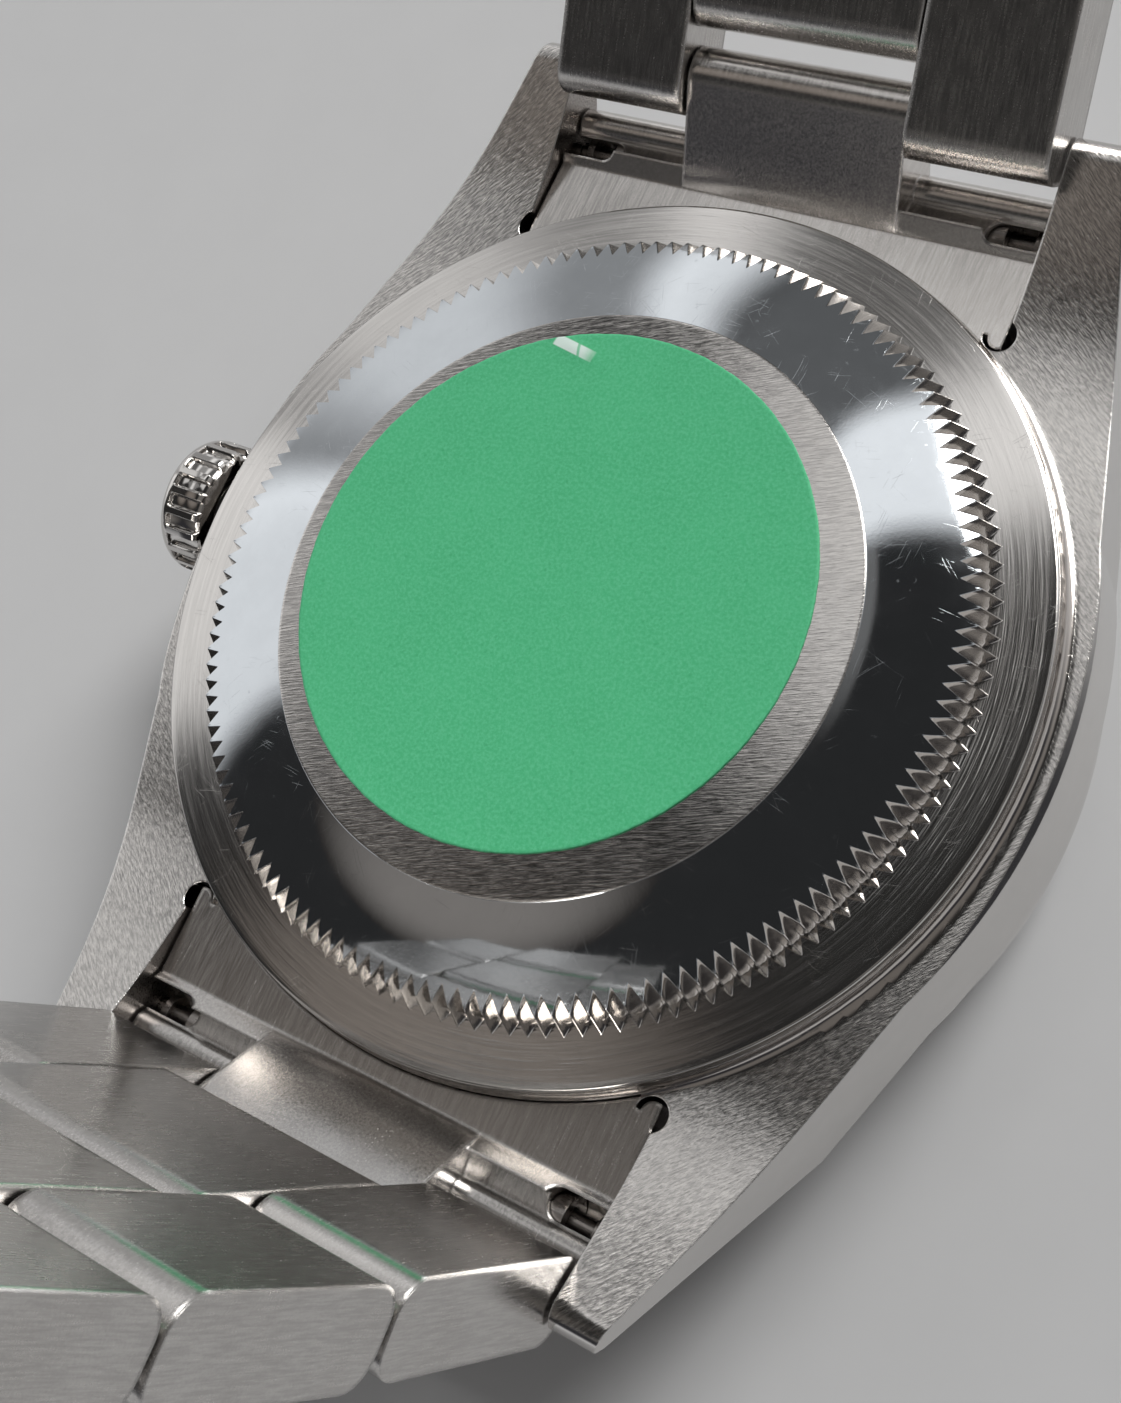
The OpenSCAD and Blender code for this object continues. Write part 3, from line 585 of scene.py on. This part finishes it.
def makeSticker(s):
    count = s["columns"]
    angles = evenAngles(count)
    ragged = 0.006 * np.sin(37 * angles + 1) + 0.005 * np.sin(83 * angles) + 0.004 * np.sin(151 * angles + 2)
    rings = [(1.0, 0.0, 0.0), (1.0, 0.0, 0.8), (1.0, -0.015, 1.0)]  # scale, inset and height of each ring
    rings += [(k, 0.0, 1.0) for k in np.linspace(0.99, 0.02, s["rings"])]
    creaseX, creaseY = filmSettings["creaseAt"]
    rows = []
    for scale, inset, high in rings:
        r = (s["radius"] - 0.02) * scale + (ragged if scale == 1 else 0) + inset
        x, y = s["x"] + r * np.cos(angles), s["y"] + r * np.sin(angles)
        along = (x - creaseX) / s["creaseLong"]
        across = (y - creaseY + filmSettings["creaseLean"] * (x - creaseX)) / s["creaseWide"]
        crease = np.exp(-along ** 2 - across ** 2) * s["creaseHigh"] * (high > 0.9)
        rows.append(np.stack([x, y, s["under"] + s["thick"] * high + crease], 1))
    faces = gridFaces(len(rows), count)
    middle = (s["x"], s["y"], s["under"] + s["thick"])
    points = closeEnd(np.array(rows).reshape(-1, 3), faces, count, middle)
    piece = addPiece("stickerFilm", points, faces, "back", ["film"], None, 50)
    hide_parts("protective_sticker")


makeSticker(stickerSettings)
print("sticker made")


# Case body: the CAD shape with a finish for each kind of face

caseSettings = {
    "coveLow": 8.16, "coveHigh": 8.9, "coveR": 17.08,
    "flat": 0.9, "sloped": 0.25, "betweenLugs": 10.05,
}


def caseFinish(p, n, s):  # brushed lug backs and shoulders, polished cove, bevels and flanks
    if s["coveLow"] < p.z < s["coveHigh"] and hypot(p.x, p.y) < s["coveR"] and n.z < 0.97:
        return "cove"
    if n.z > s["flat"]:
        return "lug"
    if abs(n.z) > s["sloped"] or abs(p.x) >= s["betweenLugs"]:
        return "polished"
    return "plain"


def makeCaseBody(s):
    finishes = ["lug", "cove", "polished", "plain"]
    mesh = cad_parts["middle_case"].data.copy()
    mesh.name = "caseBody"
    mesh.materials.clear()
    for finish in finishes:
        mesh.materials.append(look[finish])
    for face in mesh.polygons:
        face.material_index = finishes.index(caseFinish(face.center / mm, face.normal, s))
    piece = bpy.data.objects.new("caseBody", mesh)
    bpy.context.scene.collection.objects.link(piece)
    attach(piece, "case")
    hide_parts("middle_case")


makeCaseBody(caseSettings)
print("case made")


# Crown: a turned cap with straight flutes

crownSettings = {
    "radius": 2.75, "long": 2.0, "x": -17.65, "z": 6.4, "flutes": 20, "depth": 0.24, "halfGroove": 5.0,
    "bore": 1.55, "boreDepth": 1.4, "rimRound": 0.45,
}


def makeCrown(s):
    perFlute = [-9, -6.2, -5.2, -4.4, -2.5, 0, 2.5, 4.4, 5.2, 6.2]  # degrees from the middle of a flute
    starts = [i * 360 / s["flutes"] for i in range(s["flutes"])]
    angles = np.radians(np.concatenate([[start + a for a in perFlute] for start in starts]))
    offset = np.abs(np.tile(perFlute, s["flutes"]))
    groove = np.clip((s["halfGroove"] + 0.6 - offset) / 1.1, 0, 1) * s["depth"]
    r, long, rnd = s["radius"], s["long"], s["rimRound"]
    # radius, distance from the case's side and share of the flutes' depth
    rows = [(s["bore"], s["boreDepth"], 0), (s["bore"], 0.06, 0), (s["bore"] + 0.06, 0.0, 0)]
    rows += [(r - 0.32, 0.0, 0), (r - 0.17, 0.02, 0.9), (r - 0.05, 0.12, 1), (r, 0.22, 1), (r, 0.8, 1)]
    rows += [(r, long - 0.66, 1), (r, long - 0.56, 0.75), (r, long - 0.5, 0.12), (r, long - rnd, 0)]
    rows += [(r - rnd * (1 - cos(a)), long - rnd * (1 - sin(a)), 0) for a in np.linspace(0.15, pi / 2, 7)]
    rows += [(r - 0.9, long - 0.001, 0), (0.9, long - 0.001, 0), (0.05, long - 0.001, 0)]
    built = []
    for radius, height, share in rows:
        rad = radius - groove * share
        x = np.full(len(angles), s["x"] - height)
        built.append(np.stack([x, rad * np.cos(angles), s["z"] + rad * np.sin(angles)], 1))
    points = np.array(built).reshape(-1, 3)
    faces = gridFaces(len(rows), len(angles), True)
    piece = addPiece("crownCap", points, faces, "crown_head", ["polished"], None, 32)
    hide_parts("crown")


makeCrown(crownSettings)
print("crown made")


# Bezel: a turned ring with a round shoulder

bezelSettings = {
    "radius": 17.25, "inner": 14.95, "low": 0.85, "high": 3.85, "wall": 1.8, "shoulder": 1.75, "round": 1.95,
    "columns": 480,
}


def makeBezel(s):
    angles = evenAngles(s["columns"])
    outer, low, high = s["radius"], s["low"], s["high"]
    profile = [(s["inner"], high), (outer - 0.05, high), (outer, high - 0.05), (outer, low + s["wall"])]
    for a in np.linspace(0.1, 1.1, 12):
        z = low + s["shoulder"] - s["round"] * sin(a)
        if z > low + 0.02:
            profile.append((outer - s["round"] * (1 - cos(a)), z))
    flat = outer - s["round"] * (1 - sqrt(1 - (s["shoulder"] / s["round"]) ** 2))
    profile += [(flat, low), (s["inner"] + 0.05, low), (s["inner"], low + 0.05), (s["inner"], high)]
    faces = gridFaces(len(profile), len(angles), True)
    points = turnedPoints(profile, angles)
    piece = addPiece("bezelRing", points, faces, "case", ["polished"], None, 30)
    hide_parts("bezel")


makeBezel(bezelSettings)
print("bezel made")


# CAD pieces that keep their shape and get their finish

barParts, pinParts = ("spring_bar", "bar_"), ("_pin", "_pins")
cadFinishes = {
    "rubber": ["back_gasket", "crown_gasket"], "nylon": ["crystal_gasket"], "glass": ["crystal"],
    "turnedX": ["crown_tube", "winding_stem"], "endLink12": ["end_link_12"], "endLink6": ["end_link_6"],
    "plain": [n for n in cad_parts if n.startswith(barParts) or n.endswith(pinParts)],
}
for link in linkLeans:
    cadFinishes[link] = [link + "_" + part for part in ("left", "right", "centre")]
for finish, nodes in cadFinishes.items():
    for node in nodes:
        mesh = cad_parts[node].data
        mesh.materials.clear()
        mesh.materials.append(look[finish])
print("CAD pieces finished")


# Floor and light

floorSettings = {
    "half": 3.0,
    "shade": (0.62, 0.625, 0.635, 1),
    "pale": (0.65, 0.655, 0.665, 1),
    "under": 0.02,  # millimetres below the part, so that the two don't flicker
}


def makeFloor(s):
    mesh = bpy.data.meshes.new("floor")
    corners = [(x * s["half"], y * s["half"], 0) for x, y in ((-1, -1), (1, -1), (1, 1), (-1, 1))]
    mesh.from_pydata(corners, [], [(0, 1, 2, 3)])
    material, paint = newMaterial("palePaper", (0.7, 0.7, 0.7))
    colour = paint.mix(paint.noise(paint.place(), 0.25, 3.0, 0.6), s["shade"], s["pale"])
    paint.surface(colour=colour, roughness=0.9, shine=0.2)
    mesh.materials.append(material)
    floor = bpy.data.objects.new("floor", mesh)
    floor.location.z = -s["under"] * mm
    bpy.context.scene.collection.objects.link(floor)


# Soft boxes stand round the direction that the flat back mirrors the camera to. A pair of numbers that
# ends in Edge is where a part of the light starts and is full, as the cosine of an angle or as a height.
lightSettings = {
    "centre": (-0.41, 0.21, 0.89),
    "boxes": [  # from and to in degrees about the centre, softness of the ends, brightness
        (36, 62, 4, 1.2), (60, 97, 8, 0.12), (98, 112, 5, 1.0), (108, 172, 8, 0.33), (132, 158, 8, 0.5),
        (168, 204, 4, 1.0)],
    "nearBoxes": [(-28, 98, 12, 0.8), (155, 214, 10, 0.26)],  # the same, close about the centre
    "nearEdge": (0.968, 0.98),
    "between": 0.03,
    "halo": (0.2, 0.195, 0.19),  # a faint ring of light close about the centre
    "haloInnerEdge": (0.982, 0.968),
    "haloOuterEdge": (0.937, 0.95),
    "haloSideEdge": (0.1, 0.3),
    "patch": (0.28, 0.252, 0.23),  # a warm patch over the bracelet at six
    "patchAt": (-0.43, -0.2, 0.88),
    "patchEdge": (0.958, 0.999),
    "farEdge": (0.62, 0.4),  # away from the centre the light is one soft wall, and dim elsewhere
    "wallSide": (-0.25, 0.95, 0.15),
    "wall": (1.0, 1.0, 1.0, 1),
    "wallEdge": (0.1, 0.75),
    "dim": (0.04, 0.04, 0.045, 1),
    "front": (0.2, 0.19, 0.18, 1),
    "frontEdge": (0.4, 0.6),
    "backdrop": (0.6, 0.605, 0.615, 1),  # stands low all round
    "backdropEdge": (0.08, 0.24),
}


def makeWorld(s):
    world = bpy.data.worlds.new("studio")
    bpy.context.scene.world = world
    world.use_nodes = True
    paint = Paint(world.node_tree)
    ray = paint.node("ShaderNodeTexCoord", {}, {}, "Generated")
    centre = Vector(s["centre"]).normalized()
    first = (Vector((1, 0, 0)) - centre.x * centre).normalized()
    second = centre.cross(first)
    turn = ray.dot(second).math("ARCTAN2", ray.dot(first)) / (2 * pi)
    _, side, height = ray.parts()
    off = ray.dot(centre)

    def boxes(places):
        total = s["between"]
        for start, end, soft, bright in places:
            middle, half = (start + end) / 720, (end - start) / 2
            away = ((turn - middle + 1.5).math("FRACT") - 0.5).math("ABSOLUTE") * 360
            total = away.between(half + soft, half - soft) * bright + total
        return total

    light = paint.mix(off.between(*s["nearEdge"]), boxes(s["boxes"]), boxes(s["nearBoxes"]))
    halo = off.between(*s["haloInnerEdge"]) * off.between(*s["haloOuterEdge"])
    halo = halo * side.between(*s["haloSideEdge"])
    patch = ray.dot(Vector(s["patchAt"]).normalized()).between(*s["patchEdge"])
    for share, glow in ((halo, s["halo"]), (patch, s["patch"])):
        scaled = paint.node("ShaderNodeVectorMath", {"operation": "SCALE"}, {0: glow, "Scale": share})
        light = light.vectorMath("MAXIMUM", scaled)
    wall = ray.dot(s["wallSide"]).between(*s["wallEdge"])
    front = paint.mix(height.between(*s["frontEdge"]), s["dim"], s["front"])
    light = paint.mix(off.between(*s["farEdge"]), light, paint.mix(wall, front, s["wall"]))
    light = paint.mix(height.between(*s["backdropEdge"]), s["backdrop"], light)
    back = paint.node("ShaderNodeBackground", {}, {"Color": light, "Strength": 1.0})
    paint.node("ShaderNodeOutputWorld", {}, {"Surface": back})


lampSettings = {"from": (0.29, 0.74, 0.61), "strength": 2.25, "wide": 28.0, "colour": (1.0, 0.99, 0.97)}


def addLamp(s):
    data = bpy.data.lights.new("keyLamp", "SUN")
    data.energy, data.color, data.angle = s["strength"], s["colour"], radians(s["wide"])
    lamp = bpy.data.objects.new("keyLamp", data)
    lamp.rotation_euler = Vector(s["from"]).to_track_quat("Z", "Y").to_euler()
    bpy.context.scene.collection.objects.link(lamp)


makeFloor(floorSettings)
makeWorld(lightSettings)
addLamp(lampSettings)
bpy.context.scene.view_settings.view_transform = "Standard"
print("light made")
